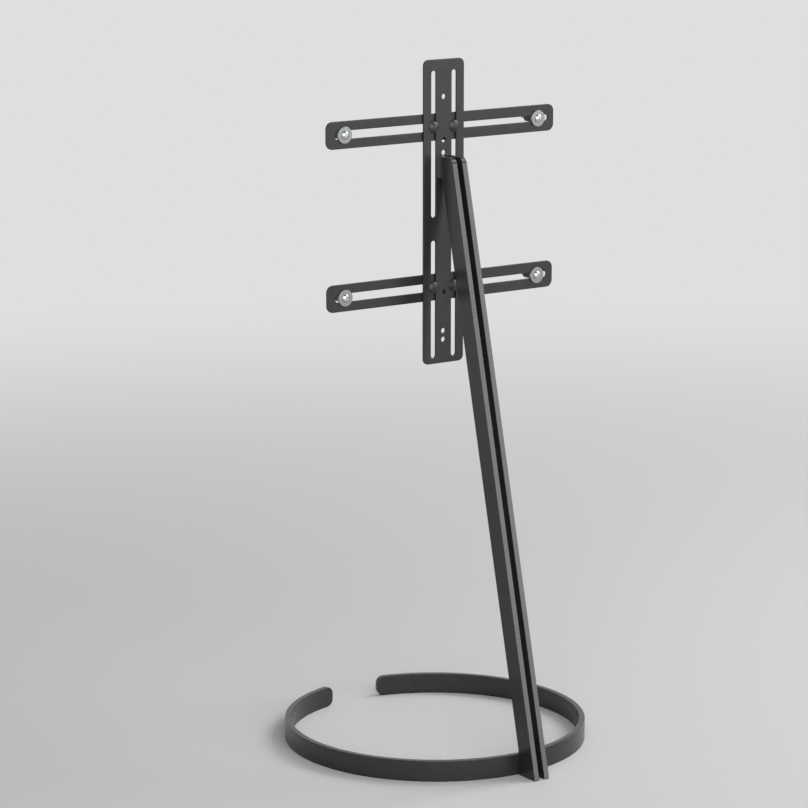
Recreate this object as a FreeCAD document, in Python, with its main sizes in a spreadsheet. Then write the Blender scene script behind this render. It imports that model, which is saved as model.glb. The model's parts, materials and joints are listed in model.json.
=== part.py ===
import FreeCAD
import Part
import math
import os

import Sketcher

# A stand with a tilted column of two plates on a C-shaped floor ring. The column's head carries a
# slotted mount plate, and two slotted arms on that plate carry four mounting screws.
# The frame: +Y is the front, where the mounting screws point, -Y is the back, where the column's
# foot stands, +X is the right seen from behind, and +Z is up. The origin is on the floor, at the
# middle of the footprint. Places along Y are worked out from the middle of the floor ring.

os.makedirs("parts", exist_ok=True)
doc = FreeCAD.newDocument("tv_stand")

# Driving dimensions in millimetres, one row of the sheet each
SIZES = {
    # floor ring
    "ring_radius": 262.0,
    "ring_wall": 10.0,
    "ring_height": 36.0,
    "ring_gap": 102.0,
    "ring_end_rounding": 14.0,
    "spotface_width": 16.0,
    "spotface_depth": 0.5,
    # column plates, with their depths measured level
    "column_height": 1024.0,
    "column_bar_depth": 36.5,
    "column_plate_thickness": 10.0,
    "column_gap": 10.4,
    "foot_depth": 47.0,
    "head_height": 37.0,
    "head_depth": 43.0,
    "head_back_rounding": 13.0,
    "head_inner_rounding": 3.0,
    # blocks, spacers and dowels between the two plates
    "foot_block_depth": 20.0,
    "foot_block_height": 58.0,
    "head_block_depth": 25.0,
    "block_setback": 4.0,
    "spacer_diameter": 12.0,
    "lower_spacer_rise": 350.0,
    "upper_spacer_rise": 690.0,
    "dowel_diameter": 6.0,
    "dowel_bite": 6.0,
    "dowel_clearance": 0.05,
    # mount plate
    "mount_setback": 23.0,
    "mount_thickness": 4.0,
    "mount_width": 83.0,
    "mount_height": 518.0,
    "mount_overhang": 162.0,
    "mount_rounding": 10.0,
    "mount_slot_width": 10.0,
    "mount_slot_spacing": 42.0,
    "upper_slot_margin": 18.5,
    "upper_slot_length": 248.0,
    "lower_slot_margin": 10.0,
    "slot_land": 39.5,
    "mount_hole_diameter": 9.0,
    "fixing_pitch": 15.0,
    "low_hole_rise": 40.5,
    "middle_hole_rise": 122.5,
    "high_hole_step": 15.5,
    "high_hole_pitch": 21.5,
    "top_hole_margin": 63.0,
    # arms
    "arm_length": 470.0,
    "arm_height": 46.0,
    "arm_thickness": 4.0,
    "arm_rounding": 12.0,
    "arm_hole_diameter": 8.5,
    "upper_arm_lift": 48.0,
    "arm_spacing": 272.5,
    "left_slot_height": 14.0,
    "left_slot_margin": 16.0,
    "right_slot_height": 10.0,
    "right_slot_margin": 12.0,
    "slot_inner_end": 34.0,
    # mounting screws with their washers and sleeves
    "tv_hole_spacing": 400.0,
    "tv_screw_length": 45.0,
    "tv_waist_diameter": 7.2,
    "tv_washer_diameter": 28.0,
    "tv_washer_thickness": 3.0,
    "tv_sleeve_diameter": 16.0,
    "tv_sleeve_length": 25.0,
    # button-head screws
    "screw_diameter": 8.0,
    "screw_clearance": 0.3,
    "thread_clearance": 0.1,
    "tap_run_out": 1.0,
    "button_head_diameter": 14.0,
    "button_head_height": 4.4,
    "socket_width": 5.0,
    "socket_depth": 2.6,
    "ring_screw_length": 25.0,
    "head_screw_length": 16.0,
    # carriage bolts that clamp the arms to the mount plate
    "cup_head_diameter": 20.0,
    "cup_head_height": 4.6,
    "neck_width": 8.4,
    "neck_height": 3.5,
    "arm_bolt_length": 20.0,
    "arm_washer_diameter": 16.0,
    "arm_washer_thickness": 1.6,
    "nut_width": 13.0,
    "nut_height": 6.5,
    # how far a cut runs past what it cuts
    "overrun": 5.0,
}

sheet = doc.addObject("Spreadsheet::Sheet", "Sizes")
for row, (alias, number) in enumerate(SIZES.items(), start=1):
    sheet.set(f"A{row}", alias)
    sheet.set(f"B{row}", str(number))
    sheet.setAlias(f"B{row}", alias)
doc.recompute()

# Corners of a hexagon as shares of its width across flats, with two flats left and right
HEXAGON_CORNER_SHARES = [
    (math.cos(math.radians(30 + 60 * k)) / (2 * math.cos(math.radians(30))),
     math.sin(math.radians(30 + 60 * k)) / (2 * math.cos(math.radians(30))))
    for k in range(6)
]
# How far the wedge that opens the ring reaches, as a share of the distance to the ring's front ends
WEDGE_REACH_SHARE = 1.2
# A screw head narrows towards its top: the width of its flat and the height of its rim, as shares
HEAD_FLAT_SHARE = 0.5
HEAD_RIM_SHARE = 0.3
# Two lengths closer than this are the same
NEAR = 1e-6


class Size:
    """A length that carries its expression in the sheet's cells along with its present value."""

    def __init__(self, value, text):
        self.value = value
        self.text = text

    def __add__(self, other):
        return Size(self.value + other.value, f"({self.text} + {other.text})")

    def __sub__(self, other):
        return Size(self.value - other.value, f"({self.text} - {other.text})")

    def __neg__(self):
        return Size(-self.value, f"(0 - {self.text})")

    def __mul__(self, other):
        if isinstance(other, Size):
            return Size(self.value * other.value, f"({self.text} * {other.text})")
        return Size(self.value * other, f"({self.text} * {other!r})")

    def __truediv__(self, other):
        if isinstance(other, Size):
            return Size(self.value / other.value, f"({self.text} / {other.text})")
        return Size(self.value / other, f"({self.text} / {other!r})")


def size(alias):
    return Size(SIZES[alias], f"Sizes.{alias}")


def root(area):
    return Size(math.sqrt(area.value), f"sqrt({area.text})")


ZERO = Size(0.0, "0")

# Places that several pieces share
ring_back = -size("ring_radius")
ring_front = root(size("ring_radius") * size("ring_radius") - size("ring_gap") * size("ring_gap") / 4)
heel = ring_back - size("foot_depth")
ring_middle = (-heel - ring_front) / 2
mount_back = -size("mount_setback")
column_slope = (mount_back - size("head_depth") - heel) / size("column_height")
head_bottom = size("column_height") - size("head_height")
mount_top = size("column_height") + size("mount_overhang")
mount_bottom = mount_top - size("mount_height")
mount_front = mount_back + size("mount_thickness")
arm_front = mount_front + size("arm_thickness")
upper_arm_rise = size("column_height") + size("upper_arm_lift")
ARM_RISES = {"upper": upper_arm_rise, "lower": upper_arm_rise - size("arm_spacing")}
ring_screw_seat = ring_back + size("ring_wall") - size("spotface_depth")
half_column_gap = size("column_gap") / 2
half_slot_spacing = size("mount_slot_spacing") / 2
dowel_hole_radius = size("dowel_diameter") / 2 + size("dowel_clearance")
tapped_radius = size("screw_diameter") / 2 + size("thread_clearance")

# Heights of the two pairs of frame screws, each pair at the middle of what it holds
lower_ring_screw = (size("ring_height") - size("fixing_pitch")) / 2
lower_head_screw = head_bottom + (size("head_height") - size("fixing_pitch")) / 2
RING_SCREW_RISES = [lower_ring_screw, lower_ring_screw + size("fixing_pitch")]
HEAD_SCREW_RISES = [lower_head_screw, lower_head_screw + size("fixing_pitch")]


def back_edge(rise):
    """Where the column's back edge is at a height."""
    return heel + rise * column_slope


# Bodies and sketches

def bind(thing, name, length):
    thing.setExpression(name, length.text)


def new_body(name, x=ZERO, y=ZERO, z=ZERO):
    body = doc.addObject("PartDesign::Body", name)
    body.Label = name
    bind(body, "Placement.Base.x", x)
    bind(body, "Placement.Base.y", ring_middle + y)
    bind(body, "Placement.Base.z", z)
    return body


def turn(body, angle):
    """Turns a body about the X axis. What points up then points to the front at -90 degrees,
    and to the back at 90."""
    turned = FreeCAD.Rotation(FreeCAD.Vector(1, 0, 0), angle)
    body.Placement = FreeCAD.Placement(body.Placement.Base, turned)


def new_sketch(body, plane, name, offset=ZERO):
    """A sketch on one of the body's own planes, moved along that plane's normal by the offset."""
    sketch = body.newObject("Sketcher::SketchObject", name)
    origin_plane = next(feature for feature in body.Origin.OriginFeatures if feature.Role == plane)
    sketch.AttachmentSupport = (origin_plane, [""])
    sketch.MapMode = "FlatFace"
    bind(sketch, "AttachmentOffset.Base.z", offset)
    return sketch


def hold(sketch, kind, targets, length):
    """Adds a dimension to the sketch and ties it to the sheet."""
    index = sketch.addConstraint(Sketcher.Constraint(kind, *targets, length.value))
    bind(sketch, f"Constraints[{index}]", length)


def hold_point(sketch, geometry, position, across, up):
    hold(sketch, "DistanceX", (-1, 1, geometry, position), across)
    hold(sketch, "DistanceY", (-1, 1, geometry, position), up)


def spot(across, up):
    return FreeCAD.Vector(across.value, up.value, 0)


def circle_of(centre, radius):
    return Part.Circle(centre, FreeCAD.Vector(0, 0, 1), radius.value)


def draw_outline(sketch, corners):
    """A closed outline of straight runs through corners given as (across, up)."""
    first = sketch.GeometryCount
    spots = [spot(*corner) for corner in corners]
    for k, start in enumerate(spots):
        sketch.addGeometry(Part.LineSegment(start, spots[(k + 1) % len(spots)]))
    for k, corner in enumerate(corners):
        follower = first + (k + 1) % len(spots)
        sketch.addConstraint(Sketcher.Constraint("Coincident", first + k, 2, follower, 1))
        hold_point(sketch, first + k, 1, *corner)


def draw_rectangle(sketch, left, right, bottom, top):
    draw_outline(sketch, [(left, bottom), (right, bottom), (right, top), (left, top)])


def draw_hexagon(sketch, width):
    draw_outline(sketch, [(width * across, width * up) for across, up in HEXAGON_CORNER_SHARES])


def draw_circle(sketch, centre, radius):
    circle = sketch.addGeometry(circle_of(spot(*centre), radius))
    hold_point(sketch, circle, 3, *centre)
    hold(sketch, "Radius", (circle,), radius)


def draw_slot(sketch, start, end, radius):
    """A round-ended slot between two arc centres."""
    first = spot(*start)
    last = spot(*end)
    along = (last - first).normalize()
    side = FreeCAD.Vector(-along.y, along.x, 0) * radius.value
    heading = math.atan2(along.y, along.x)
    quarter = math.pi / 2
    end_arc = sketch.addGeometry(Part.ArcOfCircle(
        circle_of(last, radius), heading - quarter, heading + quarter))
    start_arc = sketch.addGeometry(Part.ArcOfCircle(
        circle_of(first, radius), heading + quarter, heading + 3 * quarter))
    back_line = sketch.addGeometry(Part.LineSegment(last + side, first + side))
    out_line = sketch.addGeometry(Part.LineSegment(first - side, last - side))
    loop = [end_arc, back_line, start_arc, out_line]
    for one, two in zip(loop, loop[1:] + loop[:1]):
        sketch.addConstraint(Sketcher.Constraint("Tangent", one, 2, two, 1))
    hold_point(sketch, end_arc, 3, *end)
    hold_point(sketch, start_arc, 3, *start)
    hold(sketch, "Radius", (end_arc,), radius)


# Features

def pad(body, sketch, length, backwards=False):
    feature = body.newObject("PartDesign::Pad", f"{body.Name}_pad")
    feature.Profile = sketch
    feature.Reversed = backwards
    bind(feature, "Length", length)
    doc.recompute()


def pocket(body, sketch, depth, backwards=False):
    """Cuts the sketch into the body, and stops the script if that removes nothing."""
    whole = body.Tip.Shape
    feature = body.newObject("PartDesign::Pocket", f"{body.Name}_pocket")
    feature.Profile = sketch
    feature.Reversed = backwards
    bind(feature, "Length", depth)
    doc.recompute()
    if whole.cut(feature.Shape).Volume < NEAR:
        raise RuntimeError(f"a cut in {body.Label} removes nothing")


def revolve(body, sketch):
    feature = body.newObject("PartDesign::Revolution", f"{body.Name}_revolution")
    feature.Profile = sketch
    feature.ReferenceAxis = (sketch, ["V_Axis"])
    doc.recompute()


def fillet(body, radius, wanted):
    """Rounds those edges of the body for which wanted gives true."""
    base = body.Tip
    edges = [f"Edge{k}" for k, edge in enumerate(base.Shape.Edges, start=1) if wanted(edge)]
    feature = body.newObject("PartDesign::Fillet", f"{body.Name}_fillet")
    feature.Base = (base, edges)
    bind(feature, "Radius", radius)
    doc.recompute()


def crosses_plate_at(across, up):
    """True for the edge that runs along X through one corner of a side profile."""
    def wanted(edge):
        ends = [vertex.Point for vertex in edge.Vertexes]
        return all(abs(end.y - across.value) < NEAR and abs(end.z - up.value) < NEAR for end in ends)
    return wanted


def is_plate_corner(edge):
    """True for the corner edges of a flat plate that faces the front."""
    return edge.BoundBox.XLength < NEAR and edge.BoundBox.ZLength < NEAR


def is_ring_end_edge(edge):
    """True for the top and bottom edges of the ring's two flat ends."""
    return isinstance(edge.Curve, Part.Line) and edge.BoundBox.ZLength < NEAR


def group(name, pieces):
    """One node of several equal solids."""
    compound = doc.addObject("Part::Compound", name)
    compound.Label = name
    compound.Links = pieces
    doc.recompute()
    return compound


# Floor ring

def make_base_ring():
    body = new_body("base_ring")
    outline = new_sketch(body, "XY_Plane", "ring_outline")
    draw_circle(outline, (ZERO, ZERO), size("ring_radius"))
    draw_circle(outline, (ZERO, ZERO), size("ring_radius") - size("ring_wall"))
    pad(body, outline, size("ring_height"))

    wedge = new_sketch(body, "XY_Plane", "ring_wedge")
    half_width = size("ring_gap") / 2 * WEDGE_REACH_SHARE
    reach = ring_front * WEDGE_REACH_SHARE
    draw_outline(wedge, [(ZERO, ZERO), (half_width, reach), (-half_width, reach)])
    pocket(body, wedge, size("ring_height") + size("overrun"), backwards=True)
    fillet(body, size("ring_end_rounding"), is_ring_end_edge)

    inside = size("ring_radius") - size("ring_wall") - size("overrun")
    holes = new_sketch(body, "XZ_Plane", "ring_screw_holes", offset=inside)
    spotface = new_sketch(body, "XZ_Plane", "ring_spotface", offset=inside)
    for rise in RING_SCREW_RISES:
        draw_circle(holes, (ZERO, rise), size("mount_hole_diameter") / 2)
    pocket(body, holes, size("ring_wall") + size("overrun") * 2, backwards=True)
    first, last = RING_SCREW_RISES
    draw_slot(spotface, (ZERO, first), (ZERO, last), size("spotface_width") / 2)
    pocket(body, spotface, size("spotface_depth") + size("overrun"), backwards=True)
    return body


# Column: two plates, with blocks, spacers and dowels between them

def foot_dowel_places():
    depth = ring_back - size("foot_block_depth") / 2
    top = size("block_setback") + size("foot_block_height") - size("dowel_diameter")
    return [(depth, top - size("fixing_pitch")), (depth, top)]


def head_dowel_places():
    depth = mount_back - size("head_block_depth") + size("dowel_diameter")
    return [(depth, rise) for rise in HEAD_SCREW_RISES]


def spacer_place(level):
    rise = size(f"{level}_spacer_rise")
    return (back_edge(rise) + size("column_bar_depth") / 2, rise)


def make_column_plate(name, side):
    """One plate, shaped like a 7. Side is -1 for the left plate and 1 for the right one."""
    body = new_body(name, x=half_column_gap * side)
    profile = new_sketch(body, "YZ_Plane", f"{name}_profile")
    kink_rise = (size("foot_depth") - size("column_bar_depth")) / column_slope
    inner_corner = (back_edge(head_bottom) + size("column_bar_depth"), head_bottom)
    top_corner = (back_edge(size("column_height")), size("column_height"))
    draw_outline(profile, [
        (heel, ZERO),
        (ring_back, ZERO),
        (ring_back, kink_rise),
        inner_corner,
        (mount_back, head_bottom),
        (mount_back, size("column_height")),
        top_corner,
    ])
    pad(body, profile, size("column_plate_thickness"), backwards=side < 0)
    fillet(body, size("head_back_rounding"), crosses_plate_at(*top_corner))
    fillet(body, size("head_inner_rounding"), crosses_plate_at(*inner_corner))

    holes = new_sketch(body, "YZ_Plane", f"{name}_dowel_holes")
    places = foot_dowel_places() + head_dowel_places() + [spacer_place("lower"), spacer_place("upper")]
    for place in places:
        draw_circle(holes, place, dowel_hole_radius)
    pocket(body, holes, size("dowel_bite") + size("dowel_clearance"), backwards=side > 0)
    return body


def make_block(name, front, depth, bottom, top, dowel_places, screw_rises, screw_reach):
    """A block that fills the gap between the plates, bored across for dowels and tapped from its
    front for screws that reach so far into it."""
    body = new_body(name, x=-half_column_gap)
    outline = new_sketch(body, "YZ_Plane", f"{name}_outline")
    draw_rectangle(outline, front - depth, front, bottom, top)
    for place in dowel_places:
        draw_circle(outline, place, dowel_hole_radius)
    pad(body, outline, size("column_gap"))
    taps = new_sketch(body, "XZ_Plane", f"{name}_taps", offset=-front)
    for rise in screw_rises:
        draw_circle(taps, (half_column_gap, rise), tapped_radius)
    pocket(body, taps, screw_reach + size("tap_run_out"), backwards=True)
    return body


def make_foot_block():
    bottom = size("block_setback")
    screw_reach = size("ring_screw_length") - (ring_screw_seat - ring_back)
    return make_block("foot_block", ring_back, size("foot_block_depth"), bottom,
                      bottom + size("foot_block_height"), foot_dowel_places(),
                      RING_SCREW_RISES, screw_reach)


def make_head_block():
    bottom = head_bottom + size("block_setback")
    top = size("column_height") - size("block_setback")
    screw_reach = size("head_screw_length") - size("mount_thickness")
    return make_block("head_block", mount_back, size("head_block_depth"), bottom, top,
                      head_dowel_places(), HEAD_SCREW_RISES, screw_reach)


def make_spacer(level):
    body = new_body(f"{level}_spacer", x=-half_column_gap)
    outline = new_sketch(body, "YZ_Plane", f"{level}_spacer_outline")
    draw_circle(outline, spacer_place(level), size("spacer_diameter") / 2)
    draw_circle(outline, spacer_place(level), dowel_hole_radius)
    pad(body, outline, size("column_gap"))
    return body


def make_dowel(name, place):
    body = new_body(name, x=-half_column_gap - size("dowel_bite"))
    outline = new_sketch(body, "YZ_Plane", f"{name}_outline")
    draw_circle(outline, place, size("dowel_diameter") / 2)
    pad(body, outline, size("column_gap") + size("dowel_bite") * 2)
    return body


def make_dowel_pair(name, places):
    dowels = [make_dowel(f"{name}_{k}", place) for k, place in enumerate(places, start=1)]
    return group(f"{name}s", dowels)


# Mount plate

def spare_hole_rises():
    """Heights of the holes on the plate's middle line that hold no screw."""
    low = mount_bottom + size("low_hole_rise")
    middle = mount_bottom + size("middle_hole_rise")
    high = HEAD_SCREW_RISES[-1] + size("high_hole_step")
    top = mount_top - size("top_hole_margin")
    return [low, low + size("fixing_pitch"), middle, high, high + size("high_hole_pitch"), top]


def make_mount_plate():
    body = new_body("mount_plate", y=mount_back)
    half_width = size("mount_width") / 2
    outline = new_sketch(body, "XZ_Plane", "mount_outline")
    draw_rectangle(outline, -half_width, half_width, mount_bottom, mount_top)
    pad(body, outline, size("mount_thickness"), backwards=True)
    fillet(body, size("mount_rounding"), is_plate_corner)

    radius = size("mount_slot_width") / 2
    upper_slot_top = mount_top - size("upper_slot_margin") - radius
    upper_slot_bottom = upper_slot_top - size("upper_slot_length") + size("mount_slot_width")
    lower_slot_top = upper_slot_bottom - size("mount_slot_width") - size("slot_land")
    lower_slot_bottom = mount_bottom + size("lower_slot_margin") + radius
    openings = new_sketch(body, "XZ_Plane", "mount_openings")
    for across in (-half_slot_spacing, half_slot_spacing):
        draw_slot(openings, (across, upper_slot_bottom), (across, upper_slot_top), radius)
        draw_slot(openings, (across, lower_slot_bottom), (across, lower_slot_top), radius)
    for rise in HEAD_SCREW_RISES + spare_hole_rises():
        draw_circle(openings, (ZERO, rise), size("mount_hole_diameter") / 2)
    pocket(body, openings, size("mount_thickness") + size("overrun"))
    return body


# Arms

def make_arm(name, rise):
    body = new_body(name, y=mount_front, z=rise)
    half_length = size("arm_length") / 2
    half_height = size("arm_height") / 2
    outline = new_sketch(body, "XZ_Plane", f"{name}_outline")
    draw_rectangle(outline, -half_length, half_length, -half_height, half_height)
    pad(body, outline, size("arm_thickness"), backwards=True)
    fillet(body, size("arm_rounding"), is_plate_corner)

    openings = new_sketch(body, "XZ_Plane", f"{name}_openings")
    left_radius = size("left_slot_height") / 2
    left_end = -half_length + size("left_slot_margin") + left_radius
    draw_slot(openings, (left_end, ZERO), (-size("slot_inner_end") - left_radius, ZERO), left_radius)
    right_radius = size("right_slot_height") / 2
    right_end = half_length - size("right_slot_margin") - right_radius
    draw_slot(openings, (size("slot_inner_end") + right_radius, ZERO), (right_end, ZERO), right_radius)
    for across in (-half_slot_spacing, half_slot_spacing):
        draw_circle(openings, (across, ZERO), size("arm_hole_diameter") / 2)
    pocket(body, openings, size("arm_thickness") + size("overrun"))
    return body


# Fasteners. Each is drawn pointing up, a screw or bolt from the underside of its head, and turned.

def revolve_screw(body, head_radius, head_height, length, waist=None):
    """The head, above its seat at zero, and the shank. A waist is the radius and the length of a
    thinner stretch next to the head, which the thread ends at."""
    thread_radius = size("screw_diameter") / 2
    shank = [(thread_radius, ZERO)]
    if waist:
        waist_radius, waist_length = waist
        shank = [(waist_radius, ZERO), (waist_radius, waist_length), (thread_radius, waist_length)]
    profile = new_sketch(body, "XZ_Plane", f"{body.Name}_profile")
    draw_outline(profile, [
        (ZERO, -head_height),
        (head_radius * HEAD_FLAT_SHARE, -head_height),
        (head_radius, -head_height * HEAD_RIM_SHARE),
        (head_radius, ZERO),
        *shank,
        (thread_radius, length),
        (ZERO, length),
    ])
    revolve(body, profile)


def make_button_screw(name, x, y, z, length, angle=-90, waist=None):
    """A button-head screw with a hexagon socket."""
    body = new_body(name, x, y, z)
    revolve_screw(body, size("button_head_diameter") / 2, size("button_head_height"), length, waist)
    socket = new_sketch(body, "XY_Plane", f"{name}_socket", offset=-size("button_head_height"))
    draw_hexagon(socket, size("socket_width"))
    pocket(body, socket, size("socket_depth"), backwards=True)
    turn(body, angle)
    return body


def make_cup_bolt(name, x, y, z):
    """A carriage bolt with a cup head and a square neck that runs in the mount plate's slot."""
    body = new_body(name, x, y, z)
    revolve_screw(body, size("cup_head_diameter") / 2, size("cup_head_height"), size("arm_bolt_length"))
    neck = new_sketch(body, "XY_Plane", f"{name}_neck")
    half_neck = size("neck_width") / 2
    draw_rectangle(neck, -half_neck, half_neck, -half_neck, half_neck)
    pad(body, neck, size("neck_height"))
    turn(body, -90)
    return body


def make_tube(name, x, y, z, diameter, bore_radius, length):
    """A washer or sleeve, which starts at y and runs to the front."""
    body = new_body(name, x, y, z)
    outline = new_sketch(body, "XY_Plane", f"{name}_outline")
    draw_circle(outline, (ZERO, ZERO), diameter / 2)
    draw_circle(outline, (ZERO, ZERO), bore_radius)
    pad(body, outline, length)
    turn(body, -90)
    return body


def make_washer(name, x, y, z, diameter, thickness):
    bore_radius = size("screw_diameter") / 2 + size("screw_clearance")
    return make_tube(name, x, y, z, diameter, bore_radius, thickness)


def make_nut(name, x, y, z):
    body = new_body(name, x, y, z)
    outline = new_sketch(body, "XY_Plane", f"{name}_outline")
    draw_hexagon(outline, size("nut_width"))
    draw_circle(outline, (ZERO, ZERO), tapped_radius)
    pad(body, outline, size("nut_height"))
    turn(body, -90)
    return body


def make_arm_fasteners(name, rise):
    """The bolts, washers and nuts that clamp one arm, a pair of each."""
    sides = (("left", -half_slot_spacing), ("right", half_slot_spacing))
    nut_back = arm_front + size("arm_washer_thickness")
    bolts = [make_cup_bolt(f"{name}_bolt_{side}", across, mount_back, rise) for side, across in sides]
    washers = [
        make_washer(f"{name}_washer_{side}", across, arm_front, rise,
                    size("arm_washer_diameter"), size("arm_washer_thickness"))
        for side, across in sides
    ]
    nuts = [make_nut(f"{name}_nut_{side}", across, nut_back, rise) for side, across in sides]
    return [group(f"{name}_bolts", bolts), group(f"{name}_washers", washers), group(f"{name}_nuts", nuts)]


def make_tv_fixing(corner, across, rise):
    """One mounting screw, the washer under its head and the sleeve in front of the arm. The screw
    is thin up to the sleeve's end, and only what stands out of the sleeve is threaded."""
    washer_back = mount_front - size("tv_washer_thickness")
    waist_length = size("tv_washer_thickness") + size("arm_thickness") + size("tv_sleeve_length")
    return [
        make_button_screw(f"tv_screw_{corner}", across, washer_back, rise, size("tv_screw_length"),
                          waist=(size("tv_waist_diameter") / 2, waist_length)),
        make_washer(f"tv_washer_{corner}", across, washer_back, rise,
                    size("tv_washer_diameter"), size("tv_washer_thickness")),
        make_tube(f"tv_sleeve_{corner}", across, arm_front, rise,
                  size("tv_sleeve_diameter"), tapped_radius, size("tv_sleeve_length")),
    ]


def make_frame_screws(name, head_seat, rises, length):
    """A pair of screws that point to the back, with their heads in front of the face they clamp."""
    screws = [
        make_button_screw(f"{name}_{k}", ZERO, head_seat, rise, length, angle=90)
        for k, rise in enumerate(rises, start=1)
    ]
    return group(f"{name}s", screws)


nodes = [
    make_base_ring(),
    make_frame_screws("ring_screw", ring_screw_seat, RING_SCREW_RISES, size("ring_screw_length")),
    make_column_plate("column_plate_left", -1),
    make_column_plate("column_plate_right", 1),
    make_foot_block(),
    make_dowel_pair("foot_dowel", foot_dowel_places()),
    make_head_block(),
    make_dowel_pair("head_dowel", head_dowel_places()),
    make_spacer("lower"),
    make_dowel("lower_spacer_dowel", spacer_place("lower")),
    make_spacer("upper"),
    make_dowel("upper_spacer_dowel", spacer_place("upper")),
    make_mount_plate(),
    make_frame_screws("mount_screw", mount_front, HEAD_SCREW_RISES, size("head_screw_length")),
]
for level, arm_rise in ARM_RISES.items():
    nodes.append(make_arm(f"{level}_arm", arm_rise))
    nodes += make_arm_fasteners(f"{level}_arm", arm_rise)
    nodes += make_tv_fixing(f"{level}_left", -size("tv_hole_spacing") / 2, arm_rise)
    nodes += make_tv_fixing(f"{level}_right", size("tv_hole_spacing") / 2, arm_rise)

doc.recompute()

for thing in doc.Objects:
    if "Invalid" in thing.State or "Error" in thing.State:
        raise RuntimeError(f"{thing.Label} failed to rebuild: {thing.State}")
for node in nodes:
    if node.Shape.isNull() or not node.Shape.isValid():
        raise RuntimeError(f"{node.Label} has no valid shape")

for node in nodes:
    node.Shape.exportStep(f"parts/{node.Label}.step")
    print(node.Label, "solids", len(node.Shape.Solids), "volume", round(node.Shape.Volume, 1))
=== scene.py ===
# %% [markdown]
# # A floor stand with a slotted mount
#
# The object is a stand of powder coated steel: an open floor ring, a leaning column of two plates,
# and a slotted mount plate with two slotted arms. The CAD model is already exact, so Blender's work
# here is the finish: rounded edges that catch the light, threads, sockets and surfaces.
# The first step loads the CAD model. Nothing below moves it.

# %% Load the stand
import bpy
import json
import math
import mathutils
import numpy as np
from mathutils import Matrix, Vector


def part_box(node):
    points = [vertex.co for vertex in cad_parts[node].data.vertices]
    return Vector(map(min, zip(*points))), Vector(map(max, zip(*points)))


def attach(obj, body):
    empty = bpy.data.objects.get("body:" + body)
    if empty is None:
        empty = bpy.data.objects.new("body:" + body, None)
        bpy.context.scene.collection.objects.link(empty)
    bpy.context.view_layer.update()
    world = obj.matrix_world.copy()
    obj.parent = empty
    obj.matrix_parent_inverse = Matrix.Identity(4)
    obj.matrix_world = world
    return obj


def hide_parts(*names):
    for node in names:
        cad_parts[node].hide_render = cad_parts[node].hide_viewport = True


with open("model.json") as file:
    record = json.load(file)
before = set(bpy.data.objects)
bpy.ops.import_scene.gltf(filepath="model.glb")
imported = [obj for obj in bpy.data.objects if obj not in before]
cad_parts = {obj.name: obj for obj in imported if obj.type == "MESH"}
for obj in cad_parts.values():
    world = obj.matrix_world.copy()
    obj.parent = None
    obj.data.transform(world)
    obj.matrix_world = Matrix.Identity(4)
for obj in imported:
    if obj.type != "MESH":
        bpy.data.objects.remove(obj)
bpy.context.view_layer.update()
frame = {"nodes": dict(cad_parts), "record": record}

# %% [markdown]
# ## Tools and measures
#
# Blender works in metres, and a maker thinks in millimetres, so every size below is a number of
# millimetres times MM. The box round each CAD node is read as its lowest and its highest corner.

MM = 0.001
body_of_node = {
    node: body
    for body, nodes in frame["record"]["behaviour"]["bodies"].items()
    for node in nodes
}


def corners_of(node):
    """The lowest and the highest corner of a CAD node, as arrays in metres."""
    low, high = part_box(node)
    return np.array(low), np.array(high)


# %% [markdown]
# ## Camera
#
# A long lens, a little above the stand's middle and well off to one side of its back. Its place and
# its focal length were found by comparing known points of the stand, such as the ring and the ends
# of the arms, with where they lie in the photograph. A focal length in pixels becomes one in
# millimetres by the width of the sensor over the width of the picture.
# The Standard view shows a colour as it is written, while a film-like one would grey it.

# %% Camera
PICTURE_WIDTH = 808
SENSOR_WIDTH = 36.0
FOCAL_LENGTH_PIXELS = 3304.1
CAMERA_PLACE = np.array([-3236.3, -4481.6, 1757.1]) * MM
CAMERA_TURN_DEGREES = 35.119
CAMERA_DIP_DEGREES = 11.859

camera_data = bpy.data.cameras.new("long_lens")
camera_data.sensor_width = SENSOR_WIDTH
camera_data.lens = FOCAL_LENGTH_PIXELS / PICTURE_WIDTH * SENSOR_WIDTH
camera = bpy.data.objects.new("long_lens", camera_data)
camera.location = CAMERA_PLACE
camera.rotation_euler = (
    math.radians(90 - CAMERA_DIP_DEGREES),
    0,
    -math.radians(CAMERA_TURN_DEGREES),
)
bpy.context.scene.collection.objects.link(camera)
bpy.context.scene.camera = camera
bpy.context.scene.view_settings.view_transform = "Standard"
print("lens in mm:", round(camera_data.lens, 1))

# %% [markdown]
# ## Colours and nodes
#
# A colour is written as the hex value that a painter would pick on a screen. Cycles counts in linear
# light, so one function turns hex into linear. A material is a small graph of nodes, and one function
# adds a node: a value fills a socket, and another node's output is linked to it.

# %% Colours and nodes
def colour(text):
    """The linear colour of a hex value: each channel is a straight line near black and a power
    of 2.4 above that, as the sRGB standard gives it."""
    channel = np.array([int(text[k:k + 2], 16) for k in (1, 3, 5)]) / 255
    linear = np.where(channel <= 0.04045, channel / 12.92, ((channel + 0.055) / 1.055) ** 2.4)
    return (*linear.tolist(), 1.0)


def add(tree, kind, inputs=None, **settings):
    """Adds a node with its settings. Another node's output is linked to an input, and any other
    input is a value."""
    node = tree.nodes.new(kind)
    for name, value in settings.items():
        setattr(node, name, value)
    for name, value in (inputs or {}).items():
        if isinstance(value, bpy.types.NodeSocket):
            tree.links.new(value, node.inputs[name])
        else:
            node.inputs[name].default_value = value
    return node


def start_material(name):
    """A new, empty material, its tree, and the coordinates on its object in metres."""
    material = bpy.data.materials.new(name)
    material.use_nodes = True
    tree = material.node_tree
    tree.nodes.clear()
    coordinates = add(tree, "ShaderNodeTexCoord")
    return material, tree, coordinates.outputs["Object"]


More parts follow.
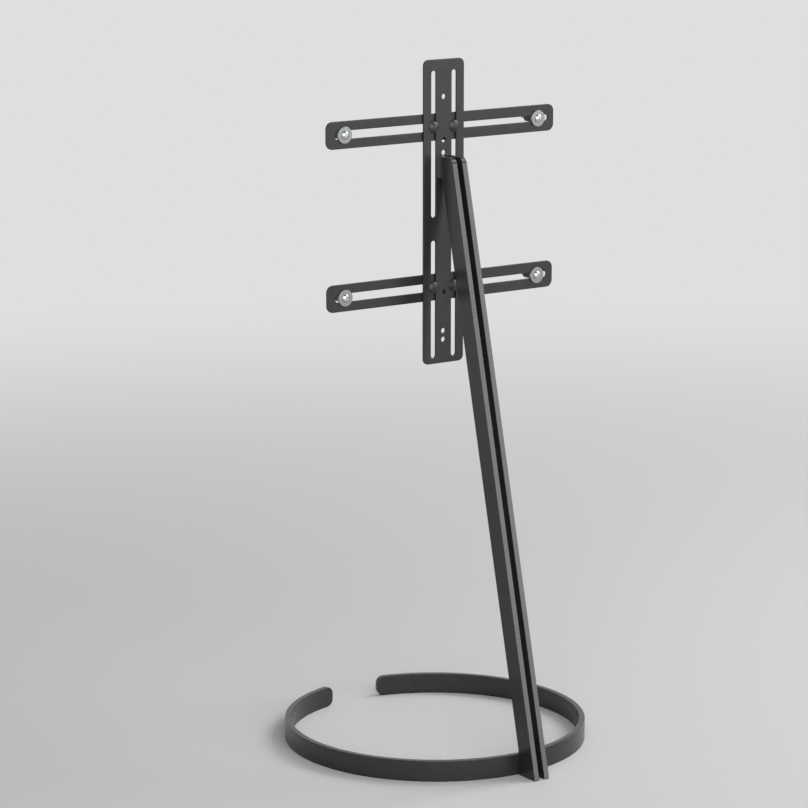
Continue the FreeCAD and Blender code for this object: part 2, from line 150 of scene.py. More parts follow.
def finish_material(tree, shader):
    """Links a shader to the material's output."""
    add(tree, "ShaderNodeOutputMaterial", {"Surface": shader.outputs[0]})


def per_metre(length):
    """The scale of a noise whose grains are this long: so many of them fit into a metre."""
    return 1 / length


print("mid grey, linear:", round(colour("#808080")[0], 3))

# %% [markdown]
# ## Floor
#
# A pale, matt floor with no pattern, so that it only shows the stand's soft shadow. It reaches far
# enough to be the backdrop as well. A real studio lights its backdrop with lamps of its own. Here
# the floor's far part glows a little instead, but only for rays from the camera and for mirror-like
# ones, so that it doesn't light the stand. Light Path tells what kind of ray has arrived.

# %% Floor
FLOOR_REACH = 40.0
FLOOR_CORNERS = 64
FLOOR_COLOUR = colour("#cfcfcf")
BACKDROP_COLOUR = colour("#dfdfdf")
# The glow sets in between these two distances from the stand, in metres
FADE_FROM = 0.5
FADE_TO = 4.5


def seen_directly(tree):
    """1 for a ray from the camera, in a mirror or through glass, and 0 for one that only brings
    light: the sum of the three flags, and no more than 1."""
    ray = add(tree, "ShaderNodeLightPath")
    seen = add(tree, "ShaderNodeMath", {
        0: ray.outputs["Is Camera Ray"],
        1: ray.outputs["Is Glossy Ray"],
    }, operation="ADD")
    seen = add(tree, "ShaderNodeMath", {
        0: seen.outputs[0],
        1: ray.outputs["Is Transmission Ray"],
    }, operation="ADD", use_clamp=True)
    return seen.outputs[0]


floor_material, tree, place = start_material("matt_studio_floor")
distance = add(tree, "ShaderNodeVectorMath", {0: place}, operation="LENGTH")
fade = add(tree, "ShaderNodeMapRange", {
    "Value": distance.outputs["Value"],
    "From Min": FADE_FROM,
    "From Max": FADE_TO,
}, interpolation_type="SMOOTHSTEP")
far_and_seen = add(tree, "ShaderNodeMath", {
    0: fade.outputs["Result"],
    1: seen_directly(tree),
}, operation="MULTIPLY")
paint = add(tree, "ShaderNodeBsdfPrincipled", {
    "Base Color": FLOOR_COLOUR,
    "Roughness": 0.9,
    "Specular IOR Level": 0.2,
})
glow = add(tree, "ShaderNodeEmission", {"Color": BACKDROP_COLOUR, "Strength": 1.0})
finish_material(tree, add(tree, "ShaderNodeMixShader", {
    0: far_and_seen.outputs[0],
    1: paint.outputs[0],
    2: glow.outputs[0],
}))

edge_angles = np.linspace(0, 2 * np.pi, FLOOR_CORNERS, endpoint=False)
edge_directions = np.stack([np.cos(edge_angles), np.sin(edge_angles), 0 * edge_angles], axis=1)
floor_edge = edge_directions * FLOOR_REACH
floor_mesh = bpy.data.meshes.new("studio_floor")
floor_mesh.from_pydata(floor_edge.tolist(), [], [list(range(len(floor_edge)))])
floor_mesh.materials.append(floor_material)
floor = bpy.data.objects.new("studio_floor", floor_mesh)
bpy.context.scene.collection.objects.link(floor)
print("floor radius in m:", FLOOR_REACH)

# %% [markdown]
# ## Surround
#
# The room is an even, pale surround. It lights the stand only a little, because the lamps do most
# of that. What the camera and the shiny surfaces see is set apart from it with Light Path: the pale
# backdrop up to a low height, and a dimmer ceiling above, so that edges that look upward stay dark.

# %% Surround
SURROUND_STRENGTH = 0.16
CEILING_SEEN = colour("#6a6a6a")
CEILING_FROM_DEGREES = 18
CEILING_TO_DEGREES = 45

world = bpy.data.worlds.new("pale_surround")
world.use_nodes = True
world.node_tree.nodes.clear()
tree = world.node_tree
direction = add(tree, "ShaderNodeTexCoord")
height = add(tree, "ShaderNodeSeparateXYZ", {0: direction.outputs["Generated"]})
above = add(tree, "ShaderNodeMapRange", {
    "Value": height.outputs["Z"],
    "From Min": math.sin(math.radians(CEILING_FROM_DEGREES)),
    "From Max": math.sin(math.radians(CEILING_TO_DEGREES)),
}, interpolation_type="SMOOTHSTEP")
surround = add(tree, "ShaderNodeMix", {
    "Factor": above.outputs["Result"],
    6: BACKDROP_COLOUR,
    7: CEILING_SEEN,
}, data_type="RGBA")
lighting = add(tree, "ShaderNodeBackground", {
    "Color": colour("#ffffff"),
    "Strength": SURROUND_STRENGTH,
})
backdrop = add(tree, "ShaderNodeBackground", {"Color": surround.outputs[2], "Strength": 1.0})
chosen = add(tree, "ShaderNodeMixShader", {
    0: seen_directly(tree),
    1: lighting.outputs[0],
    2: backdrop.outputs[0],
})
add(tree, "ShaderNodeOutputWorld", {"Surface": chosen.outputs[0]})
bpy.context.scene.world = world
print("the ceiling is seen above", CEILING_FROM_DEGREES, "degrees")

# %% [markdown]
# ## Lamps
#
# A black satin coat is nearly invisible until something bright is mirrored in it, so each lamp
# stands where it has a task. The one that matters most is a wide, low window. The column's back
# edges lean just enough to mirror it, while the upright plates mirror the floor, and so the edges
# come out much lighter than the plates. Where a reflection matters, a lamp's place is given as an
# angle round the stand and an angle above the floor, because those two decide what mirrors it.

# %% Lamps
STAND_MIDDLE = (0.0, 0.0, 0.6)


def place_at(azimuth, elevation, distance):
    """A place seen from the stand's middle. The azimuth is turned from the back towards the right,
    and the elevation is counted from level, both in degrees."""
    turn, rise = math.radians(azimuth), math.radians(elevation)
    return (distance * math.sin(turn) * math.cos(rise),
            -distance * math.cos(turn) * math.cos(rise),
            distance * math.sin(rise) + STAND_MIDDLE[2])


def hang_lamp(name, kind, place, strength, **settings):
    """A lamp at a place, facing the stand's middle. The camera doesn't see it. The strength is in
    watts, or in watts per square metre for a sun. The settings are the lamp's own, such as the
    size of an area in metres."""
    data = bpy.data.lights.new(name, kind)
    data.energy = strength
    for setting, value in settings.items():
        setattr(data, setting, value)
    lamp = bpy.data.objects.new(name, data)
    lamp.location = place
    facing = mathutils.Vector(STAND_MIDDLE) - mathutils.Vector(place)
    lamp.rotation_euler = facing.to_track_quat("-Z", "Y").to_euler()
    lamp.visible_camera = False
    bpy.context.scene.collection.objects.link(lamp)
    print(name, "strength:", strength)


# Above and to the right: it throws the soft shadow on the floor to the left
hang_lamp("right_softbox", "AREA", (2.5, -0.6, 2.9), strength=75, size=2.0)
# Large, above the camera and beside it: it lights the floor and all faces that the camera sees
hang_lamp("camera_side_softbox", "AREA", place_at(azimuth=-22, elevation=22, distance=6),
          strength=330, size=5.5)
# On the far side, dimmer: it gives the mount's front some shape
hang_lamp("mount_side_softbox", "AREA", place_at(azimuth=150, elevation=48, distance=5.5),
          strength=55, size=5.0)
# The window that the leaning back edges mirror. A sun lights evenly, so its distance has no effect
hang_lamp("far_window", "SUN", place_at(azimuth=36, elevation=10, distance=10),
          strength=0.66, angle=math.radians(23))

# %% [markdown]
# ## Satin black powder coat
#
# The plates and the ring are powder coated: a dry polyester paint that is blown on and melted in an
# oven. It comes out satin, with a faint waviness that painters call orange peel. One noise as bump
# makes the peel and a finer one the powder's grain, and a slow noise varies the colour and the
# roughness a little, as a sprayed coat does.

# %% Satin black powder coat
# A paint has an IOR of about 1.5. A little less matches how faintly this coat mirrors the floor
PAINT_IOR = 1.47


def powder_coat(name, dark, light, roughness):
    """Powder coated steel: a dielectric paint whose shade and roughness drift from patch to patch
    with one slow noise, under two bumps that add up, orange peel about 2 mm across and a grain."""
    sprayed_patch = 45.0 * MM
    roughness_drift = 0.04
    orange_peel = 2.0 * MM
    peel_depth = 0.03 * MM
    # Real powder grains are about 0.05 mm, too fine to show, so they are drawn ten times as coarse
    powder_grain = 0.5 * MM
    grain_depth = 0.01 * MM

    material, tree, place = start_material(name)
    patches = add(tree, "ShaderNodeTexNoise", {
        "Vector": place, "Scale": per_metre(sprayed_patch), "Detail": 2.0,
    })
    peel = add(tree, "ShaderNodeTexNoise", {
        "Vector": place, "Scale": per_metre(orange_peel), "Detail": 1.0,
    })
    grain = add(tree, "ShaderNodeTexNoise", {
        "Vector": place, "Scale": per_metre(powder_grain), "Detail": 0.0,
    })
    paint = add(tree, "ShaderNodeMix", {
        "Factor": patches.outputs["Fac"], 6: colour(dark), 7: colour(light),
    }, data_type="RGBA")
    satin = add(tree, "ShaderNodeMapRange", {
        "Value": patches.outputs["Fac"],
        "To Min": roughness - roughness_drift,
        "To Max": roughness + roughness_drift,
    })
    waves = add(tree, "ShaderNodeBump", {
        "Height": peel.outputs["Fac"], "Strength": 0.2, "Distance": peel_depth,
    })
    grains = add(tree, "ShaderNodeBump", {
        "Height": grain.outputs["Fac"], "Strength": 0.3, "Distance": grain_depth,
        "Normal": waves.outputs["Normal"],
    })
    finish_material(tree, add(tree, "ShaderNodeBsdfPrincipled", {
        "Base Color": paint.outputs[2],
        "Roughness": satin.outputs["Result"],
        "IOR": PAINT_IOR,
        "Normal": grains.outputs["Normal"],
    }))
    return material


# Satin: it mirrors what is bright as a soft sheen without an outline, and black shows little else
steel_coat = powder_coat("satin_powder_coated_steel", "#252526", "#29292a", roughness=0.27)
print("made", steel_coat.name)

# %% [markdown]
# ## Metal finishes of the fasteners
#
# Three finishes without paint: the bright zinc plate of the mounting screws and the nuts, the
# duller zinc of the washers, and the ground steel of the dowels. A metal's look is all reflection,
# so what sets these apart is their roughness and how it is broken up. One function makes all three.

# %% Metal finishes of the fasteners
def plated_metal(name, base, roughness, spread, grain, depth):
    """A metal with plating or grinding marks: grain is the size of a mark, depth its height, and
    spread how far the roughness drifts with the marks."""
    material, tree, place = start_material(name)
    marks = add(tree, "ShaderNodeTexNoise", {
        "Vector": place, "Scale": per_metre(grain), "Detail": 3.0,
    })
    shine = add(tree, "ShaderNodeMapRange", {
        "Value": marks.outputs["Fac"],
        "To Min": roughness - spread,
        "To Max": roughness + spread,
    })
    relief = add(tree, "ShaderNodeBump", {
        "Height": marks.outputs["Fac"], "Strength": 0.3, "Distance": depth,
    })
    finish_material(tree, add(tree, "ShaderNodeBsdfPrincipled", {
        "Base Color": colour(base),
        "Metallic": 1.0,
        "Roughness": shine.outputs["Result"],
        "Normal": relief.outputs["Normal"],
    }))
    return material


# Bright zinc is electroplated: pale and slightly blue, it mirrors sharply and is cloudy at about 1 mm
bright_zinc = plated_metal("bright_zinc_plated_steel", "#c8cacb", roughness=0.19,
                           spread=0.04, grain=1.2 * MM, depth=0.004 * MM)
# Stamped washers are tumbled before they are plated, so their zinc shows a blurred, greyer sheen
dull_zinc = plated_metal("tumbled_zinc_plated_steel", "#8f9192", roughness=0.34,
                         spread=0.06, grain=1.2 * MM, depth=0.01 * MM)
# Ground pins look matt beside them. Their marks are too fine to show, so they are drawn at 0.5 mm
ground_steel = plated_metal("ground_steel_pin", "#a8a8a6", roughness=0.38,
                            spread=0.06, grain=0.5 * MM, depth=0.01 * MM)
print("made", bright_zinc.name, dull_zinc.name, ground_steel.name)

# %% [markdown]
# ## Black oxide and nylon
#
# The frame's own screws and bolts have a thin oxide skin, darker and duller than the powder coat.
# The sleeves are moulded nylon, which is matt and even, with only a trace of mould texture. Neither
# mirrors as a bare metal does, so one function makes both.

# %% Black oxide and nylon
def black_skin(name, dark, light, roughness, grain, depth):
    """A dark, non-metallic skin with a fine mottle of two near blacks: grain is the size of its
    spots, and depth their height."""
    material, tree, place = start_material(name)
    mottle = add(tree, "ShaderNodeTexNoise", {
        "Vector": place, "Scale": per_metre(grain), "Detail": 2.0,
    })
    skin = add(tree, "ShaderNodeMix", {
        "Factor": mottle.outputs["Fac"], 6: colour(dark), 7: colour(light),
    }, data_type="RGBA")
    relief = add(tree, "ShaderNodeBump", {
        "Height": mottle.outputs["Fac"], "Strength": 0.3, "Distance": depth,
    })
    finish_material(tree, add(tree, "ShaderNodeBsdfPrincipled", {
        "Base Color": skin.outputs[2],
        "Roughness": roughness,
        "IOR": 1.5,
        "Normal": relief.outputs["Normal"],
    }))
    return material


# Oxide skin: mottled at about 1 mm, where the bath met the steel, which breaks up what it mirrors
black_oxide = black_skin("black_oxide_steel", "#19191a", "#202021", roughness=0.42,
                         grain=1.0 * MM, depth=0.01 * MM)
# Moulded nylon: the mould's spark-eroded texture of about 0.3 mm leaves it without any sheen
black_nylon = black_skin("moulded_black_nylon", "#1c1c1c", "#202020", roughness=0.5,
                         grain=0.3 * MM, depth=0.01 * MM)
print("made", black_oxide.name, black_nylon.name)

# %% [markdown]
# ## From points to a piece
#
# Each piece below is worked out as an array of points and arrays of faces. One function turns them
# into a mesh. It first measures the volume that the faces enclose, because a negative volume
# means that they point inwards. Weighted normals then keep large flats flat beside their
# narrow rounded edges.

# %% From points to a piece
CREASE = math.radians(40)


def enclosed_volume(points, faces):
    """A sixth of the sum, over all triangles, of the triple product of their three corners."""
    total = 0.0
    for corners in faces:
        first = points[corners[:, 0]]
        for k in range(1, corners.shape[1] - 1):
            total += np.sum(first * np.cross(points[corners[:, k]], points[corners[:, k + 1]]))
    return total / 6


def make_piece(name, node, material, points, faces):
    """A mesh that stands for a CAD node, or for one of the node's solids, on the node's body."""
    if enclosed_volume(points, faces) < 0:
        faces = [corners[:, ::-1] for corners in faces]
    mesh = bpy.data.meshes.new(name)
    mesh.from_pydata(points.tolist(), [], [face for corners in faces for face in corners.tolist()])
    mesh.shade_smooth()
    mesh.set_sharp_from_angle(angle=CREASE)
    mesh.materials.append(material)
    piece = bpy.data.objects.new(name, mesh)
    bpy.context.scene.collection.objects.link(piece)
    flats = piece.modifiers.new("flat_faces", "WEIGHTED_NORMAL")
    flats.keep_sharp = True
    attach(piece, body_of_node[node])
    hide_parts(node)
    print(name, "faces:", len(mesh.polygons))
    return piece


# %% [markdown]
# ## Outlines
#
# A laser cuts each plate from sheet, so a plate is an outline, some openings and a thickness.
# An outline is a run of points with the direction that points away from the steel at each of them.
# With those directions, the outline can be made smaller or larger evenly, which is how the edges
# get rounded further on.

# %% Outlines
ARC_STEPS = 12


def rounded_outline(corners, radii):
    """Straight sides whose corners are arcs. On an arc, a point is the centre plus the radius times
    a direction that turns evenly from one side's normal to the next one's, and minus where the
    corner is hollow. The corners are listed anticlockwise."""
    corners = np.array(corners, dtype=float)
    radii = np.array(radii)
    leaving = np.roll(corners, -1, axis=0) - corners
    leaving /= np.linalg.norm(leaving, axis=1, keepdims=True)
    arriving = np.roll(leaving, 1, axis=0)
    outward = np.stack([arriving[:, 1], -arriving[:, 0]], axis=1)
    bend = np.arctan2(arriving[:, 0] * leaving[:, 1] - arriving[:, 1] * leaving[:, 0],
                      np.sum(arriving * leaving, axis=1))
    signed = (radii * np.sign(bend))[:, None]
    centres = corners - arriving * (radii * np.tan(np.abs(bend) / 2))[:, None] - outward * signed
    heading = np.arctan2(outward[:, 1], outward[:, 0])
    angle = heading[:, None] + bend[:, None] * np.linspace(0, 1, ARC_STEPS + 1)
    normals = np.stack([np.cos(angle), np.sin(angle)], axis=-1)
    points = centres[:, None] + normals * signed[:, None]
    return points.reshape(-1, 2), normals.reshape(-1, 2)


def slot_opening(start, end, radius):
    """A slot: a half circle about each end. Its directions point into the opening."""
    start, end = np.array(start, dtype=float), np.array(end, dtype=float)
    along = (end - start) / np.linalg.norm(end - start)
    across = np.array([-along[1], along[0]])
    angle = np.linspace(-np.pi / 2, np.pi / 2, 2 * ARC_STEPS + 1)[:, None]
    half = np.cos(angle) * along + np.sin(angle) * across
    directions = np.concatenate([half, -half])
    points = np.concatenate([end + radius * half, start - radius * half])
    return points[::-1], -directions[::-1]


def round_opening(centre, radius):
    """A drilled hole: the centre plus the radius times a direction that goes once round."""
    angle = np.linspace(0, 2 * np.pi, 3 * ARC_STEPS, endpoint=False)
    directions = np.stack([np.cos(angle), np.sin(angle)], axis=1)
    return (np.array(centre) + radius * directions)[::-1], -directions[::-1]


outline_try, _ = rounded_outline([(0, 0), (2, 0), (2, 1), (0, 1)], [0.1] * 4)
print("points of a rounded rectangle:", len(outline_try))

# %% [markdown]
# ## Plates with soft edges
#
# A cut edge is never razor sharp: tumbling and the coat itself leave it with a radius of some
# tenths of a millimetre, and that radius is the thin bright line that the eye reads as metal.
# A Bevel modifier could round a finished plate. Carrying a small profile along every outline,
# quarter circle, wall, quarter circle, gives the same radius everywhere by itself, and only the two
# flat faces are left to fill.

# %% Plates with soft edges
EDGE_STEPS = 4
COATED_EDGE = 0.7 * MM
# Parts that slide on each other stand a hair apart, so that two flats never lie in one plane
SLIDING_GAP = 0.02 * MM
# Which of (across, up, thickness) goes to X, Y and Z
FACING_FRONT = [0, 2, 1]
FACING_SIDE = [2, 0, 1]


def grid_faces(rows, columns, first=0, rows_meet=False):
    """The quads of a grid that closes round its columns, and round its rows too where they meet."""
    row = np.arange(rows if rows_meet else rows - 1)[:, None]
    column = np.arange(columns)[None, :]
    next_row, next_column = (row + 1) % rows, (column + 1) % columns
    corners = np.stack([row * columns + column, row * columns + next_column,
                        next_row * columns + next_column, next_row * columns + column], axis=-1)
    return first + corners.reshape(-1, 4)


def filled(loops):
    """Triangles between an outline and its openings, as numbers of their points. Where the cross
    product of two sides is negative, a triangle is turned round, so all are anticlockwise."""
    flat = np.concatenate(loops)
    chains = [[mathutils.Vector((*point, 0)) for point in loop.tolist()] for loop in loops]
    triangles = np.array(mathutils.geometry.tessellate_polygon(chains))
    one = flat[triangles[:, 1]] - flat[triangles[:, 0]]
    two = flat[triangles[:, 2]] - flat[triangles[:, 0]]
    area = one[:, 0] * two[:, 1] - one[:, 1] * two[:, 0]
    return np.where(area[:, None] < 0, triangles[:, ::-1], triangles)


def cut_plate(loops, low, high, axes):
    """A plate between two depths. Round each outline goes a profile: at an angle on the quarter
    circle, a point lies edge times one minus the sine inside the outline, and edge times one minus
    the cosine below the face."""
    angle = np.linspace(0, np.pi / 2, EDGE_STEPS + 1)
    inset = COATED_EDGE * (1 - np.sin(angle))
    below = COATED_EDGE * (1 - np.cos(angle))
    insets = np.concatenate([inset, inset[::-1]])[:, None, None]
    depths = np.concatenate([low + below, high - below[::-1]])[:, None, None]
    points, quads, low_face, high_face = [], [], [], []
    first = 0
    for outline, normals in loops:
        wall = outline - normals * insets
        rows, columns = wall.shape[:2]
        depth = np.broadcast_to(depths, (rows, columns, 1))
        points.append(np.concatenate([wall, depth], axis=2).reshape(-1, 3))
        quads.append(grid_faces(rows, columns, first))
        low_face.append(first + np.arange(columns))
        high_face.append(first + (rows - 1) * columns + np.arange(columns))
        first += rows * columns
    triangles = filled([outline - normals * insets[0] for outline, normals in loops])
    lower = np.concatenate(low_face)[triangles[:, ::-1]]
    upper = np.concatenate(high_face)[triangles]
    return np.concatenate(points)[:, axes], [np.concatenate(quads), np.concatenate([lower, upper])]


print("edge radius in mm:", COATED_EDGE / MM)

# %% [markdown]
# ## Column plates
#
# The column is two plates, each shaped like a 7, with a dark gap between them. The corner at the back
# of the head is rounded by 13 mm and the inner one by 3 mm. Every other corner only loses its
# sharpness. Both plates share one outline, and each takes its thickness from its CAD node.

# %% Column plates
FOOT_DEPTH = 47.0 * MM
BAR_DEPTH = 36.5 * MM
HEAD_DEPTH = 43.0 * MM
HEAD_HEIGHT = 37.0 * MM
HEAD_BACK_RADIUS = 13.0 * MM
HEAD_INNER_RADIUS = 3.0 * MM
CUT_CORNER_RADIUS = 1.0 * MM

low, high = corners_of("column_plate_left")
heel, mount_back, column_top = low[1], high[1], high[2]
column_slope = (mount_back - HEAD_DEPTH - heel) / column_top
head_bottom = column_top - HEAD_HEIGHT
kink_rise = (FOOT_DEPTH - BAR_DEPTH) / column_slope
inner_corner = heel + column_slope * head_bottom + BAR_DEPTH
column_outline = rounded_outline([
    (heel, 0.0),
    (heel + FOOT_DEPTH, 0.0),
    (heel + FOOT_DEPTH, kink_rise),
    (inner_corner, head_bottom),
    (mount_back, head_bottom),
    (mount_back, column_top),
    (mount_back - HEAD_DEPTH, column_top),
], [CUT_CORNER_RADIUS] * 3 + [HEAD_INNER_RADIUS] + [CUT_CORNER_RADIUS] * 2 + [HEAD_BACK_RADIUS])

for side in ("left", "right"):
    low, high = corners_of(f"column_plate_{side}")
    points, faces = cut_plate([column_outline], low[0], high[0], FACING_SIDE)
    make_piece(f"column_side_{side}", f"column_plate_{side}", steel_coat,
               points, faces)

# %% [markdown]
# ## Mount plate
#
# The mount plate has four long slots for the clamping bolts and a line of round holes. The heights
# of its fixing holes come from the two screws in them. The others are counted from those holes or
# from the plate's ends. Booleans could cut all these openings out of a finished plate. As outlines
# of the plate they get its soft edges too.

# %% Mount plate
MOUNT_CORNER_RADIUS = 10.0 * MM
MOUNT_SLOT_WIDTH = 10.0 * MM
UPPER_SLOT_MARGIN = 18.5 * MM
UPPER_SLOT_LENGTH = 248.0 * MM
SLOT_LAND = 39.5 * MM
LOWER_SLOT_MARGIN = 10.0 * MM
MOUNT_HOLE_RADIUS = 4.5 * MM
SCREW_HEAD_RADIUS = 7.0 * MM
BOLT_HEAD_RADIUS = 10.0 * MM
HOLE_PITCH = 15.0 * MM
LOW_HOLE_RISE = 40.5 * MM
MIDDLE_HOLE_RISE = 122.5 * MM
HIGH_HOLE_STEP = 15.5 * MM
HIGH_HOLE_PITCH = 21.5 * MM
TOP_HOLE_MARGIN = 63.0 * MM


def rectangle(low_corner, high_corner, radius):
    """A rectangle's outline with its four corners rounded alike."""
    (left, bottom), (right, top) = low_corner, high_corner
    return rounded_outline([(left, bottom), (right, bottom), (right, top), (left, top)], [radius] * 4)


low, high = corners_of("mount_plate")
screws_low, screws_high = corners_of("mount_screws")
slot_across = corners_of("upper_arm_bolts")[1][0] - BOLT_HEAD_RADIUS
slot_radius = MOUNT_SLOT_WIDTH / 2
upper_slot_top = high[2] - UPPER_SLOT_MARGIN
upper_slot_bottom = upper_slot_top - UPPER_SLOT_LENGTH
lower_slot_top = upper_slot_bottom - SLOT_LAND
lower_slot_bottom = low[2] + LOWER_SLOT_MARGIN
fixing_rises = [screws_low[2] + SCREW_HEAD_RADIUS, screws_high[2] - SCREW_HEAD_RADIUS]
first_high_hole = fixing_rises[1] + HIGH_HOLE_STEP
hole_rises = fixing_rises + [
    low[2] + LOW_HOLE_RISE, low[2] + LOW_HOLE_RISE + HOLE_PITCH, low[2] + MIDDLE_HOLE_RISE,
    first_high_hole, first_high_hole + HIGH_HOLE_PITCH, high[2] - TOP_HOLE_MARGIN,
]
mount_loops = [rectangle(low[[0, 2]], high[[0, 2]], MOUNT_CORNER_RADIUS)]
for across in (-slot_across, slot_across):
    for bottom, top in ((upper_slot_bottom, upper_slot_top), (lower_slot_bottom, lower_slot_top)):
        ends = (across, bottom + slot_radius), (across, top - slot_radius)
        mount_loops.append(slot_opening(*ends, slot_radius))
mount_loops += [round_opening((0.0, rise), MOUNT_HOLE_RADIUS) for rise in hole_rises]
points, faces = cut_plate(mount_loops, low[1], high[1], FACING_FRONT)
make_piece("slotted_mount_plate", "mount_plate", steel_coat, points, faces)

# %% [markdown]
# ## Arms
#
# Two equal flat bars. Each has a wide slot on the left, a narrow one on the right and two holes in
# the middle for its bolts. The second could be a copy of the first, but each takes its height from
# its own CAD node, so one loop cuts both.

# %% Arms
ARM_CORNER_RADIUS = 12.0 * MM
ARM_HOLE_RADIUS = 4.25 * MM
LEFT_SLOT_HEIGHT = 14.0 * MM
LEFT_SLOT_MARGIN = 16.0 * MM
RIGHT_SLOT_HEIGHT = 10.0 * MM
RIGHT_SLOT_MARGIN = 12.0 * MM
SLOT_INNER_END = 34.0 * MM

for level in ("upper", "lower"):
    low, high = corners_of(f"{level}_arm")
    rise = (low[2] + high[2]) / 2
    left, right = LEFT_SLOT_HEIGHT / 2, RIGHT_SLOT_HEIGHT / 2
    left_end, right_end = low[0] + LEFT_SLOT_MARGIN + left, high[0] - RIGHT_SLOT_MARGIN - right
    arm_loops = [
        rectangle(low[[0, 2]], high[[0, 2]], ARM_CORNER_RADIUS),
        slot_opening((left_end, rise), (-SLOT_INNER_END - left, rise), left),
        slot_opening((SLOT_INNER_END + right, rise), (right_end, rise), right),
        round_opening((-slot_across, rise), ARM_HOLE_RADIUS),
        round_opening((slot_across, rise), ARM_HOLE_RADIUS),
    ]
    points, faces = cut_plate(arm_loops, low[1] + SLIDING_GAP, high[1] - SLIDING_GAP, FACING_FRONT)
    make_piece(f"slotted_{level}_arm", f"{level}_arm", steel_coat,
               points, faces)

# %% [markdown]
# ## Floor ring
#
# The ring is a flat bar that stands on its edge, bent into an arc, with rounded ends. A curve with
# a bevel profile could be bent like this, but its ends would be square. So the surface is worked out
# as a rounded rectangle carried along the arc, from one station to the next. Near each end the
# rectangle gets lower, by the height of a quarter circle, which rounds the bar's end as seen from
# the side. The first step finds the stations and the rectangle at each of them.

# %% Floor ring
RING_WALL = 10.0 * MM
RING_GAP = 102.0 * MM
RING_END_RADIUS = 14.0 * MM
RING_EDGE = 0.9 * MM
SMALLEST_EDGE = 0.02 * MM
SPOTFACE_WIDTH = 16.0 * MM
# Distances between stations: even along the bar, and fine round the spotface
RING_STEP = 6.0 * MM
FINE_STEP = 0.5 * MM
# Stations on the rounded end and on its soft edge
END_STATIONS = 20
LIP_STATIONS = 6
# Two stations are one if they agree to this many digits of a metre
STATION_DIGITS = 7

low, high = corners_of("base_ring")
ring_radius = (high[0] - low[0]) / 2
ring_centre = low[1] + ring_radius
ring_half_height = high[2] / 2
middle_radius = ring_radius - RING_WALL / 2
end_angle = math.asin(RING_GAP / 2 / ring_radius)
arc_length = (2 * np.pi - 2 * end_angle) * middle_radius
half_arc = arc_length / 2


def ring_stations():
    """Distances along the bar from the middle of its arc: close together at the spotface and on the
    rounded ends, and even elsewhere."""
    fine = np.arange(0, SPOTFACE_WIDTH, FINE_STEP)
    even = np.linspace(SPOTFACE_WIDTH, half_arc - RING_END_RADIUS, int(half_arc / RING_STEP))
    end_turn = np.linspace(0, np.pi / 2, END_STATIONS)[1:]
    rounded = half_arc - RING_END_RADIUS * (1 - np.sin(end_turn))
    lip_turn = np.linspace(0, np.pi / 2, LIP_STATIONS)
    lip = half_arc - RING_EDGE * (1 - np.sin(lip_turn))
    half = np.unique(np.concatenate([fine, even, rounded, lip]).round(STATION_DIGITS))
    return np.concatenate([-half[:0:-1], half])


def drop(distance, radius):
    """How far a quarter circle has dropped at a distance from its end: its radius minus the root
    of the radius squared minus what is left of the radius squared."""
    inside = np.clip(radius - distance, 0, radius)
    return radius - np.sqrt(radius ** 2 - inside ** 2)


def ring_section(half_width, half_height, radius):
    """Rounded rectangles, one for each station, once round: four quarter circles, with the inner
    side divided. The sign of each quarter says which side of the bar's middle it is on."""
    quarter = np.repeat(np.arange(4), EDGE_STEPS + 1)
    direction = (quarter + np.tile(np.linspace(0, 1, EDGE_STEPS + 1), 4)) * np.pi / 2
    side = np.sign(np.cos((quarter + 0.5) * np.pi / 2))
    level = np.sign(np.sin((quarter + 0.5) * np.pi / 2))
    across = side * (half_width - radius) + radius * np.cos(direction)
    up = level * (half_height - radius) + radius * np.sin(direction)
    share = np.linspace(1, -1, int(2 * ring_half_height / FINE_STEP))[1:-1]
    inner_across = np.broadcast_to(-half_width, (len(half_width), len(share)))
    inner_up = share * (half_height - radius)
    half = 2 * (EDGE_STEPS + 1)
    return (np.concatenate([across[:, :half], inner_across, across[:, half:]], axis=1),
            np.concatenate([up[:, :half], inner_up, up[:, half:]], axis=1))


stations = ring_stations()
from_end = (half_arc - np.abs(stations))[:, None]
shrink = drop(from_end, RING_EDGE)
across, up = ring_section(
    RING_WALL / 2 - shrink,
    ring_half_height - drop(from_end, RING_END_RADIUS) - shrink,
    np.maximum(RING_EDGE - shrink, SMALLEST_EDGE),
)
print("stations:", len(stations), "points round the bar:", across.shape[1])

# %% [markdown]
# ## The ring's bend and its spotface
#
# Each point of the rectangles is now turned about the ring's middle, by its distance along the bar
# over the radius at mid wall. On the inside of the ring, behind the column, a shallow flat is milled
# for two screw heads: the points of the wall that lie inside its round-ended outline are moved to
# one plane. That is simpler here than cutting the mesh, and the fine stations keep the rim crisp.

# %% The ring's bend and its spotface
SPOTFACE_DEPTH = 0.5 * MM

screws_low, screws_high = corners_of("ring_screws")
spot_low, spot_high = screws_low[2] + SCREW_HEAD_RADIUS, screws_high[2] - SCREW_HEAD_RADIUS
rises = ring_half_height + up
along = stations[:, None] * (middle_radius + across) / middle_radius
beyond = rises - np.clip(rises, spot_low, spot_high)
in_spotface = (np.hypot(along, beyond) < SPOTFACE_WIDTH / 2) & (across < 0)
radius_here = middle_radius + across
angle_here = stations[:, None] / middle_radius
ring_x = radius_here * np.sin(angle_here)
ring_y = -radius_here * np.cos(angle_here)
flat_y = -(ring_radius - RING_WALL + SPOTFACE_DEPTH)
ring_y = np.where(in_spotface, flat_y, ring_y)
points = np.stack([ring_x, ring_centre + ring_y, rises], axis=-1)
rows, columns = points.shape[:2]
points = points.reshape(-1, 3)
ends = np.array([np.arange(columns)[::-1], (rows - 1) * columns + np.arange(columns)])
make_piece("bent_floor_ring", "base_ring", steel_coat,
           points, [grid_faces(rows, columns), ends])

